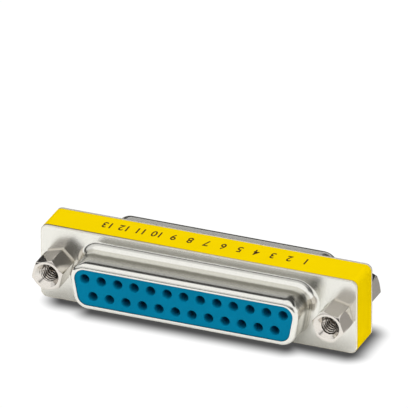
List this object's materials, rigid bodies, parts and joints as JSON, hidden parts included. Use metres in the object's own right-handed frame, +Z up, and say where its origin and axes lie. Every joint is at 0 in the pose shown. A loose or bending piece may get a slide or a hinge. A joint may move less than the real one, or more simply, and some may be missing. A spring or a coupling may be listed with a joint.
{
  "type": "d-sub gender changer",
  "caption": "Slim D-sub gender changer: two D-shaped steel shells with socket insulators, back to back on a moulded frame, with hexagonal threaded jack posts at both ends of each face.",
  "frame": {"origin": "centre of the bottom long edge it stands on, midway between the two mating faces", "axes": "+X along the long side, +Y from the front face (pin 1 at its upper right) to the back face, +Z up"},
  "size_m": [0.053, 0.019, 0.0126],
  "materials": {
    "tinned_steel": "bright tin plate, smooth",
    "yellow_plastic": "moulded, satin",
    "blue_plastic": "moulded, matt",
    "nickel_post": "turned hexagon stock, bright nickel",
    "contact_gold": "flash gold on copper alloy",
    "insert_brass": "turned"
  },
  "bodies": {
    "root": {"front_shell": "tinned_steel", "rear_shell": "tinned_steel", "frame": "yellow_plastic", "front_insulator": "blue_plastic", "rear_insulator": "blue_plastic", "front_left_jack_post": "nickel_post", "front_right_jack_post": "nickel_post", "rear_left_jack_post": "nickel_post", "rear_right_jack_post": "nickel_post", "left_spacer": "insert_brass", "right_spacer": "insert_brass", "contact_01": "contact_gold", "contact_02": "contact_gold", "contact_03": "contact_gold", "contact_04": "contact_gold", "contact_05": "contact_gold", "contact_06": "contact_gold", "contact_07": "contact_gold", "contact_08": "contact_gold", "contact_09": "contact_gold", "contact_10": "contact_gold", "contact_11": "contact_gold", "contact_12": "contact_gold", "contact_13": "contact_gold", "contact_14": "contact_gold", "contact_15": "contact_gold", "contact_16": "contact_gold", "contact_17": "contact_gold", "contact_18": "contact_gold", "contact_19": "contact_gold", "contact_20": "contact_gold", "contact_21": "contact_gold", "contact_22": "contact_gold", "contact_23": "contact_gold", "contact_24": "contact_gold", "contact_25": "contact_gold"}
  },
  "joints": []
}
